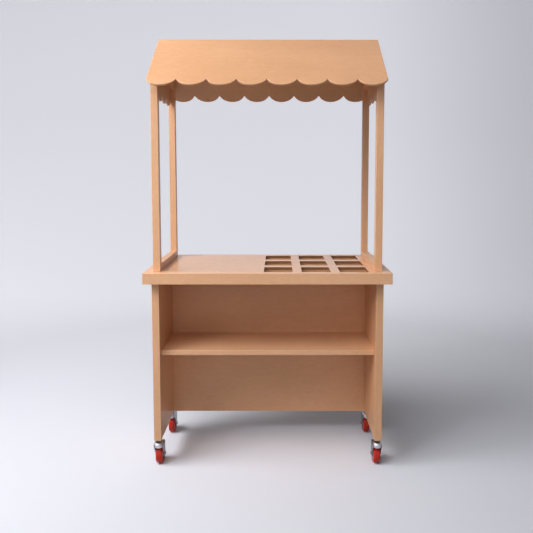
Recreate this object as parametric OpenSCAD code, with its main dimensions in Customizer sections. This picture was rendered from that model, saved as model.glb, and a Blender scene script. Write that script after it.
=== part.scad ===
// Rolling snack cart: a counter with tray pockets on an open cabinet, under a small
// gable roof with scalloped eaves, on four swivel casters.
// +X is the server's right, +Y points to the customer's side, the floor is Z = 0.

/* [Counter] */
// Width of the counter
counter_w = 1200; // [1080:10:1600]
// Depth of the counter, front to back
counter_d = 600; // [580:10:800]
// Height of the counter's top surface above the floor
counter_h = 992; // [800:1:1200]
// Thickness of the top sheet
top_sheet_t = 15; // [9:1:20]
// Thickness of the core board under the top sheet
core_t = 30; // [15:1:45]
// Thickness of the base sheet that closes the counter from below
base_sheet_t = 9; // [6:1:18]
// Thickness of the four apron boards around the counter
apron_t = 15; // [9:1:25]

/* [Tray pockets] */
// Side of one square tray pocket
tray_size = 140; // [100:5:150]
// Distance between pocket centres along the counter
tray_pitch_x = 185; // [160:5:190]
// Distance between pocket centres front to back
tray_pitch_y = 192; // [160:2:194]
// Distance from the counter's right end to the centre of the last column of pockets
tray_end = 178; // [110:1:200]
// Number of pocket columns
tray_columns = 3; // [1:1:3]
// Number of pocket rows
tray_rows = 3; // [1:1:3]

/* [Posts and sills] */
// Side of the square posts, sills and rafters
post = 35; // [25:1:45]
// Distance between the outer faces of the left and right posts
post_span_x = 1114; // [1000:2:1180]
// Distance between the outer faces of the front and back posts
post_span_y = 500; // [440:5:560]

/* [Roof] */
// Height of the ridge above the counter
ridge_rise = 1159; // [900:1:1400]
// Slope of both roof boards in degrees
slope = 38.5; // [25:0.5:50]
// Width of the roof, along the ridge
roof_w = 1128; // [1120:2:1190]
// Thickness of the roof boards
roof_t = 10; // [6:1:18]
// Horizontal distance from the ridge to the notches between the scallops
eave_reach = 304; // [285:1:360]
// Number of scallops along each eave
eave_scallops = 8; // [4:1:12]
// Depth of the eave scallops, measured down the slope
eave_drop = 50; // [20:1:58]
// Width of the batten under the ridge
ridge_batten_w = 35; // [20:1:60]
// Height of the ridge batten below the roof boards
ridge_batten_h = 45; // [25:1:80]

/* [Gable valances] */
// Thickness of the scalloped valance boards
valance_t = 9; // [6:1:15]
// Distance from the post's outer face in to the valance's outer face
valance_inset = 3; // [0:1:12]
// Height above the counter of the notches between the valance scallops
valance_rise = 878; // [700:1:900]
// Number of scallops on each valance
valance_scallops = 4; // [2:1:6]
// Depth of the valance scallops
valance_drop = 38; // [15:1:48]

/* [Cabinet] */
// Thickness of the side panels
panel_t = 35; // [30:1:45]
// Distance between the outer faces of the side panels
panel_span = 1132; // [1000:2:1190]
// Depth of the side panels
panel_d = 400; // [320:5:500]
// Distance from the counter's front edge back to the front of the side panels
panel_setback = 50; // [20:5:90]
// Thickness of the back panel
back_t = 18; // [9:1:25]
// Distance from the rear of the side panels in to the back panel
back_inset = 22; // [0:1:60]
// Thickness of the shelf
shelf_t = 24; // [15:1:35]
// Distance from the counter's top surface down to the top of the shelf
shelf_drop = 405; // [250:1:600]
// Distance from the front of the side panels in to the front of the shelf
shelf_setback = 40; // [0:5:120]

/* [Casters] */
// Height of a caster, floor to cabinet
caster_h = 139; // [134:1:170]
// Wheel diameter
wheel_d = 95; // [70:1:98]
// Wheel width over the tyre
wheel_w = 34; // [24:1:40]
// Thickness of the tyre's tread
tyre_t = 14; // [6:1:18]
// Distance from the swivel axis back to the wheel axis
trail = 38; // [34:1:45]
// Distance from the swivel axis back to the rear of the fork
fork_reach = 52; // [50:1:62]
// Distance from the ends of the side panels to the swivel axes
caster_inset = 25; // [22:1:80]
// Diameter of the domed swivel head
head_d = 45; // [40:1:56]
// Height of the domed swivel head
head_h = 28; // [24:1:29]
// Diameter of the ball race above the swivel head
race_d = 32; // [28:1:34]
// Height of the ball race above the swivel head
race_h = 14; // [8:1:16]
// Thickness of the fork legs
leg_t = 3; // [2:0.5:4]
// Diameter of the stem that enters the side panel
stem_d = 11; // [8:0.5:14]
// Length of the stem inside the side panel
stem_l = 38; // [25:1:60]
// Diameter of the king pin
king_pin_d = 10; // [8:0.5:12]
// Diameter of the wheel axle
axle_d = 8; // [6:0.5:10]

/* [Fits] */
// Radial running clearance of a turning shaft in its hole
running_fit = 0.08; // [0.02:0.01:0.1]
// Radial clearance of the stem in its hole
stem_fit = 0.1; // [0.05:0.05:0.3]
// Axial clearance between turning faces
side_play = 0.5; // [0.3:0.1:2]

/* [Hidden] */
$fn = 64;

beech = "#dcaf86";
beech_edge = "#cfa078";
zinc = "#b9b9bd";
hub_grey = "#9fb0b2";
tyre_red = "#b3261e";

left = -1;
right = 1;
front = -1;
back = 1;
far = 4000;   // larger than the cart, for cutting planes
over = 1;     // how far a cut runs past the face it opens

// Counter
counter_t = top_sheet_t + core_t + base_sheet_t;
counter_under_z = counter_h - counter_t;
deck_w = counter_w - 2 * apron_t;
deck_d = counter_d - 2 * apron_t;
tray_last_x = counter_w / 2 - tray_end;

// Roof: heights are taken straight down from the ridge line
ridge_z = counter_h + ridge_rise;
roof_drop = roof_t / cos(slope);
rafter_drop = roof_drop + post / cos(slope);
eave_len = eave_reach / cos(slope);
eave_pitch = roof_w / eave_scallops;

// Frame
post_in_x = post_span_x / 2 - post;
post_in_y = post_span_y / 2 - post;

// Cabinet
panel_front_y = -counter_d / 2 + panel_setback;
panel_back_y = panel_front_y + panel_d;
panel_h = counter_under_z - caster_h;
panel_in_x = panel_span / 2 - panel_t;
back_panel_y = panel_back_y - back_inset - back_t;
shelf_front_y = panel_front_y + shelf_setback;
shelf_z = counter_h - shelf_drop - shelf_t;

// Casters, measured from the floor on the swivel axis
caster_x = panel_span / 2 - panel_t / 2;
caster_front_y = panel_front_y + caster_inset;
caster_back_y = panel_back_y - caster_inset;
washer_d = 26;
washer_t = 3;
head_top_z = caster_h - washer_t - race_h - side_play;
head_low_z = head_top_z - head_h;
head_rim = 9.5;           // how far the dome draws in at its top and bottom
crown_top_z = head_low_z + 21;
crown_t = 4;
fork_corner = 6;          // the bevelled corner at the rear of the crown
rivet_d = 20;
rivet_t = 4;
rivet_room = rivet_t + 2 * side_play;
leg_gap = wheel_w / 2 + 2.5;
leg_end_r = 12;
leg_front = 15;           // how far a leg reaches in front of the swivel axis
bolt_head_d = 14;
bolt_head_t = 5;
axle_z = wheel_d / 2;
hub_d = wheel_d - 2 * tyre_t;
hub_w = 2 * (leg_gap - side_play);
hub_web_w = 20;
hub_boss_d = 24;
hub_rim_t = 4;
tyre_round = 9;           // radius of the tyre's shoulders
bond_gap = 0.05;

// ---------- counter ----------

module tray_cutouts(height) {
    for (column = [0:tray_columns - 1], row = [0:tray_rows - 1])
        translate([tray_last_x - column * tray_pitch_x, (row - (tray_rows - 1) / 2) * tray_pitch_y, 0])
            translate([-tray_size / 2, -tray_size / 2, -over])
                cube([tray_size, tray_size, height + 2 * over]);
}

// A sheet that fills the counter inside its aprons
module deck_sheet(low_z, height) {
    translate([-deck_w / 2, -deck_d / 2, low_z])
        cube([deck_w, deck_d, height]);
}

module counter_top_sheet() {
    color(beech) difference() {
        deck_sheet(counter_h - top_sheet_t, top_sheet_t);
        translate([0, 0, counter_h - top_sheet_t]) tray_cutouts(top_sheet_t);
    }
}

module counter_core() {
    core_z = counter_under_z + base_sheet_t;
    color(beech_edge) difference() {
        deck_sheet(core_z, core_t);
        translate([0, 0, core_z]) tray_cutouts(core_t);
    }
}

module counter_base_sheet() {
    color(beech_edge) deck_sheet(counter_under_z, base_sheet_t);
}

// The long aprons run the full width of the counter
module long_apron(side) {
    inner_y = side > 0 ? deck_d / 2 : -counter_d / 2;
    color(beech) translate([-counter_w / 2, inner_y, counter_under_z])
        cube([counter_w, apron_t, counter_t]);
}

// The short aprons fit between the long ones
module short_apron(side) {
    inner_x = side > 0 ? deck_w / 2 : -counter_w / 2;
    color(beech) translate([inner_x, -deck_d / 2, counter_under_z])
        cube([apron_t, deck_d, counter_t]);
}

// ---------- frame and roof ----------

// A post stands on the counter and is cut to the slope of the rafter that lies on it
module roof_post(side, end) {
    reach = post_span_y / 2;
    color(beech) translate([side > 0 ? post_in_x : -post_in_x - post, 0, ridge_z])
        mirror([0, end > 0 ? 1 : 0, 0])
            rotate([90, 0, 90]) linear_extrude(post)
                polygon([
                    [-reach, -rafter_drop - reach * tan(slope)],
                    [-reach, -ridge_rise],
                    [-post_in_y, -ridge_rise],
                    [-post_in_y, -rafter_drop - post_in_y * tan(slope)]
                ]);
}

// A sill lies on the counter between the front and back posts
module sill(side) {
    color(beech) translate([side > 0 ? post_in_x : -post_in_x - post, -post_in_y, counter_h])
        cube([post, 2 * post_in_y, post]);
}

// A rafter runs from a plumb cut at the ridge to a plumb cut at the post's outer face
module rafter(side, end) {
    reach = post_span_y / 2;
    fall = reach * tan(slope);
    color(beech) translate([side > 0 ? post_in_x : -post_in_x - post, 0, ridge_z])
        mirror([0, end > 0 ? 1 : 0, 0])
            rotate([90, 0, 90]) linear_extrude(post)
                polygon([
                    [0, -roof_drop],
                    [-reach, -roof_drop - fall],
                    [-reach, -rafter_drop - fall],
                    [0, -rafter_drop]
                ]);
}

// One round lobe below a straight line at v = 0, as wide as its pitch. It runs on above
// the line, where it joins its neighbours and the board.
module lobe(pitch, drop) {
    radius = (pitch * pitch / 4 + drop * drop) / (2 * drop);
    intersection() {
        translate([0, radius - drop]) circle(radius);
        translate([-pitch / 2, -drop - over]) square([pitch, drop + 3 * over]);
    }
}

// A row of lobes, centred on u = 0
module lobe_row(count, pitch, drop) {
    for (i = [0:count - 1])
        translate([(i - (count - 1) / 2) * pitch, 0]) lobe(pitch, drop);
}

// A roof board lies on its rafters, with scallops along the eave and a plumb cut at the ridge
module roof_board(end) {
    color(beech) mirror([0, end > 0 ? 1 : 0, 0]) difference() {
        translate([0, 0, ridge_z]) rotate([slope, 0, 0])
            translate([0, 0, -roof_t]) linear_extrude(roof_t) {
                translate([-roof_w / 2, over - eave_len]) square([roof_w, eave_len + 2 * roof_t]);
                translate([0, -eave_len]) lobe_row(eave_scallops, eave_pitch, eave_drop);
            }
        translate([-far / 2, 0, ridge_z - far / 2]) cube([far, far, far]);
    }
}

// The batten fills the corner under the ridge, between the rafters
module ridge_batten() {
    half = ridge_batten_w / 2;
    color(beech) translate([-post_in_x, 0, ridge_z]) rotate([90, 0, 90])
        linear_extrude(2 * post_in_x)
            polygon([
                [0, -roof_drop],
                [-half, -roof_drop - half * tan(slope)],
                [-half, -roof_drop - half * tan(slope) - ridge_batten_h],
                [half, -roof_drop - half * tan(slope) - ridge_batten_h],
                [half, -roof_drop - half * tan(slope)]
            ]);
}

// A valance fills the gable between two posts, up to the undersides of the rafters
module gable_valance(side) {
    outer_x = post_span_x / 2 - valance_inset;
    low_x = side > 0 ? outer_x - valance_t : -outer_x;
    top_z = ridge_z - rafter_drop;
    notch_z = counter_h + valance_rise;
    color(beech) translate([low_x, 0, 0]) rotate([90, 0, 90]) linear_extrude(valance_t) {
        polygon([
            [-post_in_y, notch_z + over],
            [post_in_y, notch_z + over],
            [post_in_y, top_z - post_in_y * tan(slope)],
            [0, top_z],
            [-post_in_y, top_z - post_in_y * tan(slope)]
        ]);
        translate([0, notch_z])
            lobe_row(valance_scallops, 2 * post_in_y / valance_scallops, valance_drop);
    }
}

// ---------- cabinet ----------

module side_panel(side) {
    color(beech) difference() {
        translate([side > 0 ? panel_in_x : -panel_in_x - panel_t, panel_front_y, caster_h])
            cube([panel_t, panel_d, panel_h]);
        for (y = [caster_front_y, caster_back_y])
            translate([side * caster_x, y, caster_h - over])
                cylinder(h = stem_l + 2 * over, d = stem_d + 2 * stem_fit);
    }
}

module back_panel() {
    color(beech) translate([-panel_in_x, back_panel_y, caster_h])
        cube([2 * panel_in_x, back_t, panel_h]);
}

module shelf() {
    color(beech) translate([-panel_in_x, shelf_front_y, shelf_z])
        cube([2 * panel_in_x, back_panel_y - shelf_front_y, shelf_t]);
}

// ---------- casters ----------

module at_caster(side, end) {
    translate([side * caster_x, end > 0 ? caster_back_y : caster_front_y, 0]) children();
}

// The stem with its washer, the ball race and the king pin, riveted under the swivel head
module caster_stem(side, end) {
    color(zinc) at_caster(side, end) {
        translate([0, 0, caster_h]) cylinder(h = stem_l, d = stem_d);
        translate([0, 0, caster_h - washer_t]) cylinder(h = washer_t, d = washer_d);
        translate([0, 0, head_top_z + side_play]) cylinder(h = race_h, d = race_d);
        translate([0, 0, head_low_z]) cylinder(h = caster_h - head_low_z, d = king_pin_d);
        translate([0, 0, head_low_z]) cylinder(h = rivet_t, d = rivet_d);
    }
}

// Half of the dome's section: a bulging side between a flat top and a flat bottom
module head_section() {
    bulge_r = (head_h * head_h / 4 + head_rim * head_rim) / (2 * head_rim);
    intersection() {
        translate([head_d / 2 - bulge_r, head_h / 2]) circle(bulge_r, $fn = 96);
        square([head_d / 2, head_h]);
    }
    square([head_d / 2 - head_rim, head_h]);
}

module swivel_head() {
    difference() {
        translate([0, 0, head_low_z]) rotate_extrude() head_section();
        translate([0, 0, head_low_z - over])
            cylinder(h = head_h + 2 * over, d = king_pin_d + 2 * running_fit);
        translate([0, 0, head_low_z - over])
            cylinder(h = rivet_room + over, d = rivet_d + 4 * side_play);
    }
}

// A fork leg, seen from the side: it hangs from the crown and narrows to the axle
module leg_outline() {
    polygon([
        [-leg_front, crown_top_z],
        [-leg_front, crown_top_z - 10],
        [trail - leg_end_r, axle_z],
        [trail + leg_end_r, axle_z],
        [fork_reach, crown_top_z - 26],
        [fork_reach, crown_top_z - fork_corner],
        [fork_reach - fork_corner, crown_top_z]
    ]);
    translate([trail, axle_z]) circle(leg_end_r);
}

module caster_fork(side, end) {
    color(zinc) at_caster(side, end) {
        swivel_head();
        for (s = [-1, 1])
            translate([s > 0 ? leg_gap : -leg_gap - leg_t, 0, 0])
                rotate([90, 0, 90]) linear_extrude(leg_t) leg_outline();
        fork_crown();
        translate([-leg_gap - leg_t - bolt_head_t, trail, axle_z]) rotate([0, 90, 0]) {
            cylinder(h = 2 * (leg_gap + leg_t + bolt_head_t), d = axle_d);
            cylinder(h = bolt_head_t, d = bolt_head_d, $fn = 6);
            translate([0, 0, 2 * (leg_gap + leg_t) + bolt_head_t])
                cylinder(h = bolt_head_t, d = bolt_head_d, $fn = 6);
        }
    }
}

// The pressed bridge that joins both legs to the head
module fork_crown() {
    crown_d = fork_reach - fork_corner + leg_front;
    difference() {
        translate([-leg_gap - leg_t, -leg_front, crown_top_z - crown_t])
            cube([2 * (leg_gap + leg_t), crown_d, crown_t]);
        translate([0, 0, crown_top_z - crown_t - over])
            cylinder(h = crown_t + 2 * over, d = head_d - 2 * head_rim);
    }
}

module at_wheel(side, end) {
    at_caster(side, end) translate([0, trail, axle_z]) rotate([0, 90, 0]) children();
}

// The hub has a web, a rim under the tyre and a boss that runs on the axle
module wheel_hub(side, end) {
    hub_r = hub_d / 2;
    color(hub_grey) at_wheel(side, end) rotate_extrude() difference() {
        polygon([
            [0, -hub_w / 2],
            [hub_boss_d / 2, -hub_w / 2],
            [hub_boss_d / 2, -hub_web_w / 2],
            [hub_r - hub_rim_t, -hub_web_w / 2],
            [hub_r - hub_rim_t, -wheel_w / 2 + 1],
            [hub_r, -wheel_w / 2 + 1],
            [hub_r, wheel_w / 2 - 1],
            [hub_r - hub_rim_t, wheel_w / 2 - 1],
            [hub_r - hub_rim_t, hub_web_w / 2],
            [hub_boss_d / 2, hub_web_w / 2],
            [hub_boss_d / 2, hub_w / 2],
            [0, hub_w / 2]
        ]);
        translate([0, -wheel_w]) square([axle_d / 2 + running_fit, 2 * wheel_w]);
    }
}

// The tyre's section has rounded shoulders and sits on the hub's rim
module tyre_section() {
    high_r = wheel_d / 2;
    flat = wheel_w / 2 - tyre_round;
    difference() {
        union() {
            translate([0, -wheel_w / 2]) square([high_r - tyre_round, wheel_w]);
            translate([0, -flat]) square([high_r, 2 * flat]);
            for (s = [-1, 1])
                translate([high_r - tyre_round, s * flat]) circle(tyre_round);
        }
        translate([-over, -wheel_w]) square([hub_d / 2 + bond_gap + over, 2 * wheel_w]);
    }
}

module wheel_tyre(side, end) {
    color(tyre_red) at_wheel(side, end) rotate_extrude() tyre_section();
}

counter_top_sheet();
counter_core();
counter_base_sheet();
long_apron(front);  // apron_front
long_apron(back);  // apron_back
short_apron(left);  // apron_left
short_apron(right);  // apron_right
roof_post(left, front);  // post_front_left
roof_post(right, front);  // post_front_right
roof_post(left, back);  // post_back_left
roof_post(right, back);  // post_back_right
sill(left);  // sill_left
sill(right);  // sill_right
rafter(left, front);  // rafter_front_left
rafter(right, front);  // rafter_front_right
rafter(left, back);  // rafter_back_left
rafter(right, back);  // rafter_back_right
gable_valance(left);  // gable_valance_left
gable_valance(right);  // gable_valance_right
roof_board(front);  // roof_front
roof_board(back);  // roof_back
ridge_batten();
side_panel(left);  // side_panel_left
side_panel(right);  // side_panel_right
back_panel();
shelf();
caster_stem(left, front);  // caster_stem_front_left
caster_stem(right, front);  // caster_stem_front_right
caster_stem(left, back);  // caster_stem_back_left
caster_stem(right, back);  // caster_stem_back_right
caster_fork(left, front);  // caster_fork_front_left
caster_fork(right, front);  // caster_fork_front_right
caster_fork(left, back);  // caster_fork_back_left
caster_fork(right, back);  // caster_fork_back_right
wheel_hub(left, front);  // wheel_hub_front_left
wheel_hub(right, front);  // wheel_hub_front_right
wheel_hub(left, back);  // wheel_hub_back_left
wheel_hub(right, back);  // wheel_hub_back_right
wheel_tyre(left, front);  // wheel_tyre_front_left
wheel_tyre(right, front);  // wheel_tyre_front_right
wheel_tyre(left, back);  // wheel_tyre_back_left
wheel_tyre(right, back);  // wheel_tyre_back_right
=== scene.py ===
import math

import bmesh
import bpy
from mathutils import Matrix, Vector


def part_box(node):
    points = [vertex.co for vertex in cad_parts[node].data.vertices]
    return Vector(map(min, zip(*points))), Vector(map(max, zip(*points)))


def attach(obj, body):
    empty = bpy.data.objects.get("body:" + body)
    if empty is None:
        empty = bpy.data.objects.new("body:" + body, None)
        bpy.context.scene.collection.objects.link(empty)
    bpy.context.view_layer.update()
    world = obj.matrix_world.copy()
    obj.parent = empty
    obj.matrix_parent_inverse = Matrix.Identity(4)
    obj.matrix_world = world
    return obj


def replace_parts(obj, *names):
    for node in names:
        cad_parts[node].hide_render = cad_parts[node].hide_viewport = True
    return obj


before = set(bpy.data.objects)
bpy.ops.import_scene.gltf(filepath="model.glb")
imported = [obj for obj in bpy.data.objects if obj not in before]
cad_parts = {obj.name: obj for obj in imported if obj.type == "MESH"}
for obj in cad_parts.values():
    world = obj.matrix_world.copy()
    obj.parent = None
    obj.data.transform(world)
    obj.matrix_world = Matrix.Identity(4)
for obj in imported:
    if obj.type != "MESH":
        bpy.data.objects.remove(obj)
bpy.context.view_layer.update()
print("frame loaded:", len(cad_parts), "nodes")

scene = bpy.context.scene
corners = [(end, side) for end in ("front", "back") for side in ("left", "right")]
lengthWays = {"x": Vector((1, 0, 0)), "y": Vector((0, 1, 0)), "z": Vector((0, 0, 1))}


class Socket:  # an output of a node, with maths on it
    def __init__(self, finish, out):
        self.finish = finish
        self.out = out

    def named(self, name):  # another output of the same node
        return Socket(self.finish, self.out.node.outputs[name])

    def math(self, operation, first, second):
        return self.finish.node("ShaderNodeMath", {"operation": operation}, {0: first, 1: second})

    def __add__(self, other):
        return self.math("ADD", self, other)

    def __radd__(self, other):
        return self.math("ADD", other, self)

    def __sub__(self, other):
        return self.math("SUBTRACT", self, other)

    def __rsub__(self, other):
        return self.math("SUBTRACT", other, self)

    def __mul__(self, other):
        return self.math("MULTIPLY", self, other)

    def __rmul__(self, other):
        return self.math("MULTIPLY", other, self)

    def over(self, low, high):  # 0 below low, 1 above high, smooth between
        settings = {"interpolation_type": "SMOOTHSTEP"}
        return self.finish.node("ShaderNodeMapRange", settings, {0: self, 1: low, 2: high})


class Finish:  # a material and its nodes
    def __init__(self, name, world=None):
        self.material = world or bpy.data.materials.new(name)
        self.material.use_nodes = True
        self.tree = self.material.node_tree
        self.shader = self.tree.nodes["Background" if world else "Principled BSDF"]

    def node(self, kind, settings=None, inputs=None):
        made = self.tree.nodes.new(kind)
        for key, value in (settings or {}).items():
            setattr(made, key, value)
        for key, value in (inputs or {}).items():
            self.connect(value, made.inputs[key])
        return Socket(self, made.outputs[0])

    def connect(self, value, target):
        if isinstance(value, Socket):
            self.tree.links.new(value.out, target)
        else:
            target.default_value = value

    def attribute(self, name):
        return self.node("ShaderNodeAttribute", {"attribute_name": name})

    def seen(self):  # 1 where the camera sees it, straight, in a gloss or through glass
        path = self.node("ShaderNodeLightPath")
        return path + path.named("Is Glossy Ray") + path.named("Is Transmission Ray")

    def place(self):  # the point on the object
        return self.node("ShaderNodeTexCoord").named("Object")

    def stretched(self, place, scale):
        return self.node("ShaderNodeMapping", {}, {"Vector": place, "Scale": scale})

    def noise(self, place, scale, detail=2.0, roughness=0.5):
        inputs = {"Vector": place, "Scale": scale, "Detail": detail, "Roughness": roughness}
        return self.node("ShaderNodeTexNoise", {}, inputs)

    def blend(self, factor, low, high):
        settings = {"data_type": "RGBA"}
        return self.node("ShaderNodeMix", settings, {0: factor, 6: low, 7: high}).named("Result")

    def bump(self, height, strength, distance):
        inputs = {"Height": height, "Strength": strength, "Distance": distance}
        return self.node("ShaderNodeBump", {}, inputs)

    def shade(self, inputs):
        for key, value in inputs.items():
            self.connect(value, self.shader.inputs[key])
        return self.material


boardLook = {
    "dark": (0.605, 0.315, 0.158, 1),
    "light": (0.895, 0.516, 0.300, 1),
    # the paler arris colour is partly sanding wear and partly a painted highlight on the rounded edges
    "arris": (0.900, 0.600, 0.400, 1),
    "end": (0.520, 0.280, 0.150, 1),
    # painted shade: dark brown for the walls of the counter's pockets
    "cut": (0.215, 0.105, 0.050, 1),
    "roughness": 0.37,
}
counterLook = {**boardLook, "roughness": 0.23}


def boardFinish(name, look):
    finish = Finish(name)
    grain = finish.attribute("grain").named("Vector")  # along, across and through the board
    clouds = finish.noise(finish.stretched(grain, (0.8, 1.6, 1.6)), 2.4, 3)
    bands = finish.noise(finish.stretched(grain, (0.5, 60, 90)), 1, 1)
    mottle = finish.noise(finish.stretched(grain, (0.45, 1, 1)), 70, 4, 0.6)
    fibres = finish.noise(finish.stretched(grain, (6, 420, 420)), 1, 3, 0.6)
    flecks = finish.noise(finish.stretched(grain, (110, 900, 900)), 1, 1)
    fleck = flecks.over(0.60, 0.74)
    tone = clouds * 0.62 + bands * 0.11 + mottle * 0.46 + fibres * 0.34 - 0.30 - fleck * 0.10
    # painted light and shade: each board's whole colour is made paler or darker
    tone = tone + finish.attribute("paintedLightTint").named("Fac")
    base = finish.blend(tone, look["dark"], look["light"])
    ended = finish.blend(finish.attribute("endGrain").named("Fac") * 0.45, base, look["end"])
    # painted shade: the near-upright faces of the counter's top sheet, mainly its pocket walls, are made
    # dark brown
    cut = finish.blend(finish.attribute("cut").named("Fac"), ended, look["cut"])
    # partly wear and partly painted highlight: the arris faces are made paler in patches
    worn = finish.attribute("arris").named("Fac") * (mottle * 0.36 - 0.04)
    return finish.shade({
        "Base Color": finish.blend(worn, cut, look["arris"]),
        "Roughness": look["roughness"] + mottle * 0.12 + fibres * 0.10 - 0.10,
        "Normal": finish.bump(fibres * 0.7 + mottle * 0.3 - fleck * 0.4, 0.10, 0.0006),
    })


coreLook = {
    "dark": (0.400, 0.205, 0.100, 1),
    "light": (0.560, 0.315, 0.170, 1),
    "roughness": 0.62,
}


def coreFinish(name, look):  # pressed core board, with short chips in every direction
    finish = Finish(name)
    grain = finish.attribute("grain").named("Vector")
    chips = finish.noise(finish.stretched(grain, (0.6, 1, 1)), 330, 3, 0.7)
    clouds = finish.noise(grain, 9, 3)
    tone = chips * 0.9 + clouds * 0.5 - 0.2
    return finish.shade({
        "Base Color": finish.blend(tone, look["dark"], look["light"]),
        "Roughness": look["roughness"] + chips * 0.1,
        "Normal": finish.bump(chips, 0.2, 0.0004),
    })


zincLook = {
    "dark": (0.50, 0.50, 0.53, 1),
    "light": (0.74, 0.74, 0.77, 1),
    "stain": (0.30, 0.27, 0.24, 1),
    "roughness": 0.36,
}


# painted shade: a darker copy of the zinc plating, for the fork and the axle bolt
forkLook = {
    "dark": (0.25, 0.25, 0.27, 1),
    "light": (0.44, 0.44, 0.47, 1),
    "stain": (0.18, 0.16, 0.14, 1),
    "roughness": 0.30,
}


def zincFinish(name, look):  # plated pressed steel, brighter in soft patches
    finish = Finish(name)
    place = finish.place()
    patches = finish.noise(place, 60, 3)
    rolled = finish.noise(finish.stretched(place, (900, 900, 60)), 1, 2)
    dirt = finish.noise(place, 170, 4, 0.7).over(0.62, 0.80)
    plated = finish.blend(patches, look["dark"], look["light"])
    return finish.shade({
        "Base Color": finish.blend(dirt * 0.5, plated, look["stain"]),
        "Metallic": 1.0,
        "Roughness": look["roughness"] + patches * 0.14 + rolled * 0.08 + dirt * 0.2,
        "Normal": finish.bump(rolled, 0.05, 0.0003),
    })


hubLook = {
    "dark": (0.175, 0.245, 0.260, 1),
    "light": (0.250, 0.330, 0.345, 1),
    "dust": (0.400, 0.400, 0.400, 1),
    "roughness": 0.42,
}


def hubFinish(name, look):  # grey moulded hub with a fine sparkle of dust
    finish = Finish(name)
    place = finish.place()
    cast = finish.noise(place, 140, 3)
    pores = finish.noise(place, 1500, 2)
    dust = finish.noise(place, 420, 4, 0.7).over(0.60, 0.78)
    tinted = finish.blend(cast, look["dark"], look["light"])
    return finish.shade({
        "Base Color": finish.blend(dust * 0.35, tinted, look["dust"]),
        "Roughness": look["roughness"] + cast * 0.12,
        "Normal": finish.bump(pores, 0.10, 0.0002),
    })


treadLook = {
    "dark": (0.450, 0.012, 0.003, 1),
    "light": (0.800, 0.032, 0.008, 1),
    "scuff": (0.085, 0.030, 0.030, 1),
    "roughness": 0.34,
    "worn": (0.94, 1.03),   # how near the running surface the scuffs begin and are full
}


def treadFinish(name, look):  # red polyurethane, scuffed dark where it runs
    finish = Finish(name)
    place = finish.place()
    running = finish.attribute("running").named("Fac")
    swirl = finish.noise(place, 90, 3)
    grit = finish.noise(place, 620, 4, 0.7)
    scuff = running.over(*look["worn"]) * grit.over(0.36, 0.72)
    moulded = finish.blend(swirl, look["dark"], look["light"])
    return finish.shade({
        "Base Color": finish.blend(scuff * 0.75, moulded, look["scuff"]),
        "Specular IOR Level": 0.35,
        "Roughness": look["roughness"] + scuff * 0.30 + swirl * 0.08,
        "Normal": finish.bump(grit, 0.08, 0.0004),
    })


sealLook = {"dark": (0.010, 0.010, 0.011, 1), "light": (0.035, 0.034, 0.034, 1), "roughness": 0.45}


def sealFinish(name, look):  # greasy black seal
    finish = Finish(name)
    smear = finish.noise(finish.place(), 260, 3)
    return finish.shade({
        "Base Color": finish.blend(smear, look["dark"], look["light"]),
        "Roughness": look["roughness"] + smear * 0.25,
    })


raceLook = {"dark": (0.055, 0.050, 0.050, 1), "light": (0.130, 0.120, 0.115, 1), "roughness": 0.38}


def raceFinish(name, look):  # hardened steel cup, dark with oil
    finish = Finish(name)
    smear = finish.noise(finish.place(), 190, 4, 0.6)
    return finish.shade({
        "Base Color": finish.blend(smear, look["dark"], look["light"]),
        "Metallic": 1.0,
        "Roughness": look["roughness"] + smear * 0.20,
    })


finishes = {
    "board": boardFinish("board", boardLook),
    "counter_board": boardFinish("counter_board", counterLook),
    "core_board": coreFinish("core_board", coreLook),
    "zinc_steel": zincFinish("zinc_steel", zincLook),
    "fork_steel": zincFinish("fork_steel", forkLook),
    "wheel_hub": hubFinish("wheel_hub", hubLook),
    "red_tyre": treadFinish("red_tyre", treadLook),
    "seal": sealFinish("seal", sealLook),
    "race": raceFinish("race", raceLook),
}
print("materials made:", len(finishes))


def addPiece(name, mesh, body, slot, finish=None):
    shape = bpy.data.meshes.new(name)
    mesh.to_mesh(shape)
    mesh.free()
    piece = bpy.data.objects.new(name, shape)
    scene.collection.objects.link(piece)
    shape.materials.append(finishes[finish or slot])
    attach(piece, body)
    return piece


def bevelled(mesh, edges, width, segments=2):
    return bmesh.ops.bevel(mesh, geom=edges, offset=width, offset_type="OFFSET", affect="EDGES",
                           segments=segments, profile=0.5, material=-1, clamp_overlap=True)


def sharpEdges(mesh, least=30):
    found = []
    for edge in mesh.edges:
        if len(edge.link_faces) == 2 and edge.calc_face_angle(0) > math.radians(least):
            found.append(edge)
    return found


# Every board node: the way its grain runs, the width of its sanded arris, and how much paler or darker its
# colour is painted, as painted light and shade board by board
boards = {
    "counter_top_sheet": ("x", 0.0008, 0.10),
    "counter_core": ("x", 0, 0),
    "counter_base_sheet": ("x", 0, 0),
    "apron_front": ("x", 0.0012, 0.22),
    "apron_back": ("x", 0.0012, 0.22),
    "apron_left": ("y", 0.0012, 0.10),
    "apron_right": ("y", 0.0012, 0.10),
    "sill_left": ("y", 0.0012, 0.05),
    "sill_right": ("y", 0.0012, 0.05),
    "gable_valance_left": ("y", 0.0022, -0.05),
    "gable_valance_right": ("y", 0.0022, -0.05),
    "roof_front": ("x", 0.0022, -0.36),
    "roof_back": ("x", 0.0022, -0.36),
    "ridge_batten": ("x", 0.0015, 0),
    "side_panel_left": ("z", 0.0012, 0.04),
    "side_panel_right": ("z", 0.0012, -0.06),
    "back_panel": ("x", 0.0010, 0.06),
    "shelf": ("x", 0.0015, 0.12),
}
for end, side in corners:
    boards[f"post_{end}_{side}"] = ("z", 0.0015, 0.12)
    boards[f"rafter_{end}_{side}"] = ("y", 0.0015, -0.10)


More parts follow.
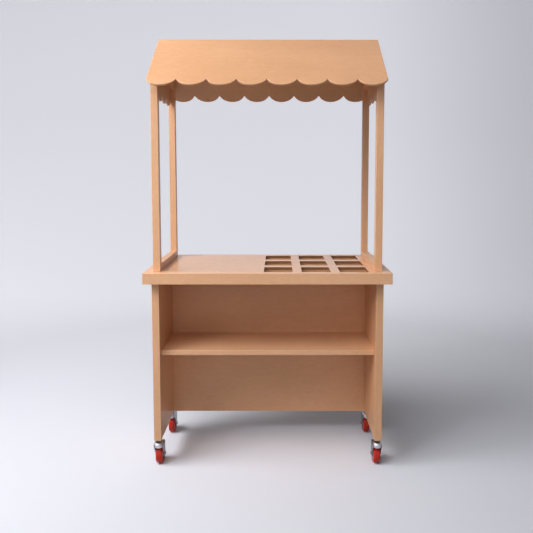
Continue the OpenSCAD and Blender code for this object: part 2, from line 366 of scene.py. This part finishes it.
def markGrain(mesh, along, turn, paintedLightShade, shadesPockets):  # the board's own directions and grain tone, and its painted light and shade, for its finish
    grain = mesh.verts.layers.float_vector.new("grain")
    endGrain = mesh.faces.layers.float.new("endGrain")
    cut = mesh.faces.layers.float.new("cut")
    paintedLightTint = mesh.faces.layers.float.new("paintedLightTint")
    across = lengthWays["y" if along is not lengthWays["y"] else "x"]
    through = along.cross(across)
    shift = Vector((turn * 3.7, turn * 1.9, turn * 0.83))
    for vert in mesh.verts:
        vert[grain] = Vector((vert.co.dot(along), vert.co.dot(across), vert.co.dot(through))) + shift
    for face in mesh.faces:
        face[endGrain] = 1.0 if abs(face.normal.dot(along)) > 0.8 else 0.0
        # painted shade on the near-upright faces of the counter's top sheet, mainly its pocket walls
        face[cut] = 1.0 if shadesPockets and abs(face.normal.z) < 0.4 else 0.0
        # painted light and shade: one paler or darker shift for the whole board
        face[paintedLightTint] = paintedLightShade


def addBoard(node, way, arrisWidth, paintedLightShade, turn):
    mesh = bmesh.new()
    mesh.from_mesh(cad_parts[node].data)
    bmesh.ops.remove_doubles(mesh, verts=mesh.verts, dist=0.00001)
    bmesh.ops.dissolve_limit(mesh, angle_limit=math.radians(0.5), verts=mesh.verts, edges=mesh.edges)
    arris = mesh.faces.layers.float.new("arris")
    if arrisWidth:
        made = bevelled(mesh, sharpEdges(mesh), arrisWidth, 3)
        for face in made["faces"]:
            face[arris] = 1.0
            face.smooth = True
    markGrain(mesh, lengthWays[way], turn, paintedLightShade, node == "counter_top_sheet")
    slot = "core_board" if node in ("counter_core", "counter_base_sheet") else "board"
    glossy = "counter_board" if node == "counter_top_sheet" else None
    piece = addPiece(f"{node}_board", mesh, "cart", slot, glossy)
    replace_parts(piece, node)
    return piece


for turn, (node, (way, arrisWidth, paintedLightShade)) in enumerate(boards.items()):
    addBoard(node, way, arrisWidth, paintedLightShade, turn)
print("boards made:", len(boards))


def millimetres(value):
    return value / 1000


def spunProfile(points, segments, close=False):  # points are (radius, height), in millimetres
    mesh = bmesh.new()
    verts = [mesh.verts.new((millimetres(r), 0, millimetres(z))) for r, z in points]
    edges = [mesh.edges.new(pair) for pair in zip(verts, verts[1:])]
    if close:
        edges.append(mesh.edges.new((verts[-1], verts[0])))
    bmesh.ops.spin(mesh, geom=verts + edges, cent=(0, 0, 0), axis=(0, 0, 1), angle=2 * math.pi,
                   steps=segments, use_merge=True)
    bmesh.ops.remove_doubles(mesh, verts=mesh.verts, dist=0.000001)
    bmesh.ops.recalc_face_normals(mesh, faces=mesh.faces)
    for face in mesh.faces:
        face.smooth = True
    return mesh


def creased(piece, angle=32):  # smooth shading, with true edges kept
    piece.data.set_sharp_from_angle(angle=math.radians(angle))
    return piece


def arcPoints(centre, radius, start, stop, steps):  # angles in degrees, from the radius axis
    turns = [math.radians(start + (stop - start) * i / steps) for i in range(steps + 1)]
    return [(centre[0] + radius * math.cos(t), centre[1] + radius * math.sin(t)) for t in turns]


def casterPlace(end, side):  # the swivel axis on the floor, and the wheel's centre
    stemLow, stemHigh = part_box(f"caster_stem_{end}_{side}")
    tyreLow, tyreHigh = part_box(f"wheel_tyre_{end}_{side}")
    axis = (stemLow + stemHigh) / 2
    return Vector((axis.x, axis.y, 0)), (tyreLow + tyreHigh) / 2


stemLow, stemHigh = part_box("caster_stem_front_left")
forkLow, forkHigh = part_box("caster_fork_front_left")
tyreLow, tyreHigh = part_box("wheel_tyre_front_left")
hubLow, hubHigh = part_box("wheel_hub_front_left")
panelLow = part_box("side_panel_left")[0]
axisPoint, wheelPoint = casterPlace("front", "left")

# Sizes of a caster in millimetres, some worked out from the frame and the rest given
caster = {
    "top": panelLow.z * 1000,
    "raceRadius": (stemHigh.x - stemLow.x) * 500,
    "headTop": forkHigh.z * 1000,
    "headHeight": 28,
    "headRadius": 22.5,
    "stemRadius": 5.5,
    "stemTop": stemHigh.z * 1000,
    "trail": (wheelPoint.y - axisPoint.y) * 1000,
    "axle": wheelPoint.z * 1000,
    "wheelRadius": (tyreHigh.z - tyreLow.z) * 500,
    "treadHalf": (tyreHigh.x - tyreLow.x) * 500,
    "hubRadius": (hubHigh.z - hubLow.z) * 500,
    "legGap": 19.5,
    "legThick": 3,
    "legFront": 15,
    "forkReach": 52,
    "crownTop": forkHigh.z * 1000 - 7,
    "crownCorner": 6,
    "eyeRadius": 12,
}


def headMesh(c):  # the bright domed head, with a rolled lip below
    low = c["headTop"] - c["headHeight"]
    middle = low + c["headHeight"] / 2
    bulge = 15.07
    centre = (c["headRadius"] - bulge, middle)
    side = arcPoints(centre, bulge, -62, 62, 22)
    lip = arcPoints((12.4, low + 1.6), 1.4, 200, 300, 5)
    return spunProfile([(5.2, low + 1.2), *lip, *side, (13.4, c["headTop"] - 0.4),
                        (12.4, c["headTop"]), (5.2, c["headTop"])], 72, close=True)


def raceMesh(c):  # the fixed cup that the head turns under
    low = c["headTop"] + 0.5
    high = c["top"]
    r = c["raceRadius"]
    return spunProfile([(0, low), (r - 2.5, low), (r - 0.8, low + 0.6), (r, low + 2), (r, low + 5),
                        (r - 0.7, low + 6), (r - 1.6, low + 6.4), (r - 1.6, low + 8),
                        (r - 0.6, low + 8.5), (r - 0.6, low + 11), (r - 2, low + 13),
                        (13, low + 14), (13, high), (c["stemRadius"] + 0.7, high),
                        (c["stemRadius"], high + 1), (c["stemRadius"], c["stemTop"] - 1),
                        (c["stemRadius"] - 1, c["stemTop"]), (0, c["stemTop"])], 64)


def sealMesh(c):  # the dark ring in the gap between the cup and the head
    low = c["headTop"] - 0.3
    high = low + 0.65
    return spunProfile([(11.5, low), (14.2, low), (14.8, low + 0.35), (14.2, high), (11.5, high)],
                       56, close=True)


def kingPinMesh(c):  # the pin with its rivet, up inside the head
    low = c["headTop"] - c["headHeight"]
    rivet = arcPoints((6.2, low + 2.2), 2.2, -90, 0, 5)
    high = c["top"] - 3
    pin = 5
    return spunProfile([(0, low), *rivet, (8.4, low + 4), (pin, low + 4), (pin, high), (0, high)], 40)


def legOutline(c):  # y and z of the leg's outline, clockwise from the front of the crown
    top = c["crownTop"]
    return [(-c["legFront"], top), (c["forkReach"] - c["crownCorner"], top),
            (c["forkReach"], top - c["crownCorner"]), (c["forkReach"], top - 26),
            *arcPoints((c["trail"], c["axle"]), c["eyeRadius"], 0, -180, 18),
            (-c["legFront"], top - 10)]


def drawnOut(mesh, face, way):  # a solid from a face, drawn out along way
    out = bmesh.ops.extrude_face_region(mesh, geom=[face])["geom"]
    moved = [item for item in out if isinstance(item, bmesh.types.BMVert)]
    bmesh.ops.translate(mesh, vec=way, verts=moved)


def forkMesh(c):  # two pressed legs and the crown that joins them
    mesh = bmesh.new()
    for side in (-1, 1):
        ring = [mesh.verts.new((millimetres(side * c["legGap"]), millimetres(y), millimetres(z)))
                for y, z in legOutline(c)]
        leg = mesh.faces.new(ring)
        drawnOut(mesh, leg, (millimetres(side * c["legThick"]), 0, 0))
    outer = c["legGap"] + c["legThick"]
    front = -c["legFront"]
    span = c["forkReach"] - c["crownCorner"] - front
    top = c["crownTop"]
    section = [(-c["legGap"], top - 4), (c["legGap"], top - 4), (outer, top - 5), (outer, top - 3),
               (outer - 1, top - 0.9), (outer - 3, top), (-outer + 3, top), (-outer + 1, top - 0.9),
               (-outer, top - 3), (-outer, top - 5)]
    ring = [mesh.verts.new((millimetres(x), millimetres(front), millimetres(z))) for x, z in section]
    drawnOut(mesh, mesh.faces.new(ring), (0, millimetres(span), 0))
    bmesh.ops.recalc_face_normals(mesh, faces=mesh.faces)
    bevelled(mesh, sharpEdges(mesh, 40), 0.0007)
    for face in mesh.faces:
        face.smooth = face.calc_area() < 0.00008
    return mesh


def hexMesh(across, thick, boreStep):  # a chamfered hexagon on the Z axis, at the origin
    mesh = bmesh.new()
    bmesh.ops.create_cone(mesh, cap_ends=True, segments=6, radius1=across, radius2=across, depth=thick)
    bevelled(mesh, list(mesh.edges), 0.0006)
    top = max(mesh.faces, key=lambda face: face.calc_center_median().z)
    made = bmesh.ops.inset_region(mesh, faces=[top], thickness=0.0012, depth=boreStep)
    for face in made["faces"]:
        face.smooth = True
    return mesh


def joined(target, source, place):
    holder = bpy.data.meshes.new("part")
    source.transform(place)
    source.to_mesh(holder)
    source.free()
    target.from_mesh(holder)
    bpy.data.meshes.remove(holder)


def axleMesh(c):  # bolt head, washers, nut and the thread that stands out of it
    mesh = bmesh.new()
    outer = millimetres(c["legGap"] + c["legThick"])
    quarter = math.pi / 2
    head = hexMesh(0.0070, 0.0042, -0.0004)
    joined(mesh, head, Matrix.Translation((outer + 0.0029, 0, 0)) @ Matrix.Rotation(quarter, 4, "Y"))
    nut = hexMesh(0.0066, 0.0036, 0.0002)
    joined(mesh, nut, Matrix.Translation((-outer - 0.0026, 0, 0)) @ Matrix.Rotation(-quarter, 4, "Y"))
    washer = spunProfile([(4.2, 0), (8.2, 0), (8.6, 0.25), (8.6, 0.75), (8.2, 1), (4.2, 1)], 40, close=True)
    other = washer.copy()
    joined(mesh, washer, Matrix.Translation((outer, 0, 0)) @ Matrix.Rotation(quarter, 4, "Y"))
    joined(mesh, other, Matrix.Translation((-outer, 0, 0)) @ Matrix.Rotation(-quarter, 4, "Y"))
    reach = 2 * (c["legGap"] + c["legThick"]) + 4.6
    pitch = 0.4
    thread = [(4 - 0.35 * (i % 2), pitch + i * pitch) for i in range(8)]
    shank = spunProfile([(0, 0), *thread, (4, reach - 3), (0, reach - 3)], 24)
    joined(mesh, shank, Matrix.Translation((-outer - 0.0050, 0, 0)) @ Matrix.Rotation(quarter, 4, "Y"))
    return mesh


def wheelTurned(mesh):  # a shape spun about Z, laid on the wheel's axle
    mesh.transform(Matrix.Rotation(math.pi / 2, 4, "Y"))
    return mesh


def tyreMesh(c):
    r = c["wheelRadius"]
    half = c["treadHalf"]
    inner = c["hubRadius"] + 0.05
    shoulder = 9
    edge = half - shoulder
    high = arcPoints((r - shoulder, edge), shoulder, 0, 90, 14)
    low = [(x, -z) for x, z in reversed(high)]
    lipHigh = [(inner + 2.2, half), (inner + 1.2, half - 0.5), (inner, half - 1)]
    lipLow = [(x, -z) for x, z in reversed(lipHigh)]
    crowned = [(r, edge * t) for t in (-0.5, 0, 0.5)]
    mesh = spunProfile([*lipLow, *low, *crowned, *high, *lipHigh], 120, close=True)
    running = mesh.verts.layers.float.new("running")
    for vert in mesh.verts:
        vert[running] = vert.co.xy.length / millimetres(r)
    return wheelTurned(mesh)


def hubMesh(c):
    r = c["hubRadius"]
    half = c["treadHalf"] - 1
    web = 10
    boss = c["legGap"] - 0.5
    high = [(4.1, boss), (10.8, boss), (12, boss - 1), (12.6, web + 3), (14, web + 0.6), (16, web),
            (r - 8, web), (r - 6, web + 0.8), (r - 4.6, half - 2.5), (r - 3.6, half - 0.5), (r - 2.8, half),
            (r - 0.5, half), (r, half - 0.5)]
    low = [(x, -z) for x, z in reversed(high)]
    mesh = spunProfile([*high, *low], 96, close=True)
    rib = {"inner": 12.5, "outer": r - 5.5, "thick": 2.2, "rise": 4.5, "count": 6}
    for number in range(rib["count"]):
        for side in (-1, 1):
            piece = bmesh.new()
            bmesh.ops.create_cube(piece, size=1)
            length = millimetres(rib["outer"] - rib["inner"])
            middle = millimetres((rib["outer"] + rib["inner"]) / 2)
            size = (length, millimetres(rib["thick"]), millimetres(rib["rise"]), 1)
            piece.transform(Matrix.Diagonal(size))
            bevelled(piece, list(piece.edges), 0.0005)
            place = Matrix.Rotation(number * 2 * math.pi / rib["count"], 4, "Z")
            place = place @ Matrix.Translation((middle, 0, side * millimetres(web)))
            joined(mesh, piece, place)
    return wheelTurned(mesh)


def addCaster(end, side):
    axis, wheel = casterPlace(end, side)
    name = f"{end}_{side}"
    onAxis = Matrix.Translation(axis)
    onWheel = Matrix.Translation(wheel)
    swivel = f"swivel_{name}"
    roller = f"wheel_{name}"

    race = raceMesh(caster)
    joined(race, kingPinMesh(caster), Matrix.Identity(4))
    race.transform(onAxis)
    racePiece = creased(addPiece(f"ball_race_{name}", race, "cart", "zinc_steel", "race"))
    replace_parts(racePiece, f"caster_stem_{name}")

    fork = forkMesh(caster)
    fork.transform(onAxis)
    forkPiece = addPiece(f"pressed_fork_{name}", fork, swivel, "zinc_steel", "fork_steel")
    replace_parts(forkPiece, f"caster_fork_{name}")
    head = headMesh(caster)
    head.transform(onAxis)
    creased(addPiece(f"domed_head_{name}", head, swivel, "zinc_steel"), 50)
    seal = sealMesh(caster)
    seal.transform(onAxis)
    addPiece(f"seal_ring_{name}", seal, swivel, "zinc_steel", "seal")
    axle = axleMesh(caster)
    axle.transform(onWheel)
    creased(addPiece(f"axle_bolt_{name}", axle, swivel, "zinc_steel", "fork_steel"))

    hub = hubMesh(caster)
    hub.transform(onWheel)
    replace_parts(creased(addPiece(f"hub_{name}", hub, roller, "wheel_hub")), f"wheel_hub_{name}")
    tyre = tyreMesh(caster)
    tyre.transform(onWheel)
    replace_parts(creased(addPiece(f"tread_{name}", tyre, roller, "red_tyre"), 50), f"wheel_tyre_{name}")


for end, side in corners:
    addCaster(end, side)
print("casters made:", len(corners))


floorLook = {
    "lit": (0.44, 0.42, 0.42, 1),      # the colour that light thrown back from the floor takes
    # painted light: the floor as the camera sees it is darker near and paler far off
    "near": (0.67, 0.685, 0.755, 1),
    "far": (0.83, 0.845, 0.925, 1),
    "depth": (-2.2, 0.6),
    "left": (0.32, 0.32, 0.34, 1),     # painted light: the glow of the backdrop, from one side to the other, brighter at the left
    "right": (0.06, 0.06, 0.075, 1),
    "width": (0.8, 3.9),
    "rise": (-0.1, 1.3),
    "radius": 5.0,
    "curve": 2.2,
    "height": 7.0,
    "roughness": 0.9,
}


def floorFinish(look):
    finish = Finish("studio_floor")
    place = finish.place()
    parts = finish.node("ShaderNodeSeparateXYZ", {}, {"Vector": place})
    speckle = finish.noise(place, 40, 3)
    # painted light: the paper is paler the farther back it lies
    paper = finish.blend(parts.named("Y").over(*look["depth"]), look["near"], look["far"])
    # painted light: the backdrop glows, brighter at the left than at the right
    glow = finish.blend(parts.named("X").over(*look["width"]), look["left"], look["right"])
    rise = (parts.named("Z") + parts.named("Y") * 0.35).over(*look["rise"]) * finish.seen()
    return finish.shade({
        "Base Color": finish.blend(finish.seen(), look["lit"], paper),
        "Roughness": look["roughness"] + speckle * 0.05,
        "Specular IOR Level": 0.1,
        "Emission Color": finish.blend(rise, (0, 0, 0, 1), glow),
        "Emission Strength": 1.0,
    })


def addStage(look):
    radius = look["radius"]
    curve = look["curve"]
    flat = radius - curve
    bend = arcPoints((flat, curve), curve, -90, 0, 24)
    finish = floorFinish(look)
    outlines = {
        "floor": [(0, 0), (flat / 2, 0), (flat, 0)],
        "backdrop": [*bend, (radius, look["height"])],
    }
    for name, outline in outlines.items():
        mesh = spunProfile([(x * 1000, z * 1000) for x, z in outline], 96)
        for face in mesh.faces:
            level = face.normal.z
            outward = face.normal.dot(face.calc_center_median()) > 0
            if level < -0.01 or (abs(level) < 0.01 and outward):
                face.normal_flip()
        shape = bpy.data.meshes.new(name)
        mesh.to_mesh(shape)
        mesh.free()
        piece = bpy.data.objects.new(name, shape)
        scene.collection.objects.link(piece)
        shape.materials.append(finish)
        piece.visible_diffuse = name == "floor"
        piece.visible_shadow = name == "floor"


addStage(floorLook)

lamps = {
    "key": {"place": (-2.6, -0.8, 3.4), "size": 1.4, "power": 74},
    "high": {"place": (-1.0, -3.0, 5.0), "size": 2.6, "power": 72},
    "left": {"place": (-3.0, -2.6, 3.6), "size": 2.4, "power": 100},
    "front": {"place": (0, -4.2, 2.0), "size": 2.5, "power": 16},
}


def addLamp(name, lamp):
    data = bpy.data.lights.new(name, "AREA")
    data.shape = "DISK"
    data.size = lamp["size"]
    data.energy = lamp["power"]
    light = bpy.data.objects.new(name, data)
    scene.collection.objects.link(light)
    light.location = lamp["place"]
    aim = Vector((0, 0, 1)) - Vector(lamp["place"])
    light.rotation_euler = aim.to_track_quat("-Z", "Y").to_euler()


for name, lamp in lamps.items():
    addLamp(name, lamp)

# the world looks paler in glosses than the light it gives: painted reflection on the metal and the wood
worldLook = {"light": (0.13, 0.13, 0.13, 1), "seen": (0.50, 0.50, 0.54, 1)}


def addWorld(look):
    scene.world = bpy.data.worlds.new("studio")
    finish = Finish("studio", scene.world)
    finish.shade({"Color": finish.blend(finish.seen(), look["light"], look["seen"]), "Strength": 1.0})


addWorld(worldLook)
print("lamps made:", len(lamps))

cameraView = {
    "place": (0.0525, -3.0575, 1.497),
    "pitch": 0.0783,     # how far it looks down, in radians
    "lens": 39.41,
    "shift": (-0.0223, -0.10),
}


def addCamera(view):
    data = bpy.data.cameras.new("camera")
    data.lens = view["lens"]
    data.sensor_width = 36
    data.shift_x, data.shift_y = view["shift"]
    camera = bpy.data.objects.new("camera", data)
    scene.collection.objects.link(camera)
    camera.location = view["place"]
    camera.rotation_euler = (math.pi / 2 - view["pitch"], 0, 0)
    scene.camera = camera


addCamera(cameraView)
scene.view_settings.view_transform = "Standard"
